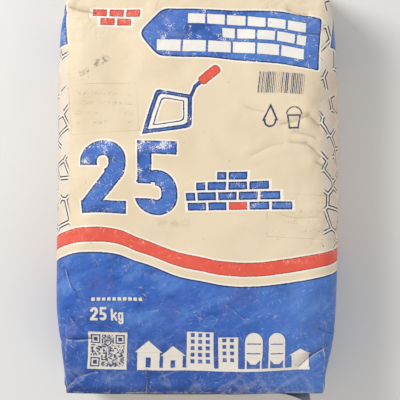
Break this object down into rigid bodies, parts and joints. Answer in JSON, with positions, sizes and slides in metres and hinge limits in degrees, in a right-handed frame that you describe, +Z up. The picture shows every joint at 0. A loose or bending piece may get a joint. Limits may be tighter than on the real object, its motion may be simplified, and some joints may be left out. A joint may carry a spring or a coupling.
{
  "type": "filled cement bag",
  "caption": "Filled paper valve sack of cement lying flat on its back: a full cushion shape with square folded block ends, pasted end patches and a valve sleeve in one corner.",
  "frame": {"origin": "middle of the sack's footprint, on the floor", "axes": "+Z up out of the printed front face, +Y along the sack to its valve end, which is the top of the print, +X to the right of the print"},
  "size_m": [0.328, 0.5038, 0.118],
  "materials": {
    "sack_paper": "cream sack kraft, printed blue and red, scuffed and dusty",
    "patch_paper": "plain brown kraft",
    "valve_paper": "plain pale kraft"
  },
  "bodies": {
    "root": {"filled_sack": "sack_paper", "base_patch": "patch_paper", "valve_end_patch": "patch_paper", "valve_sleeve": "valve_paper"}
  },
  "joints": []
}
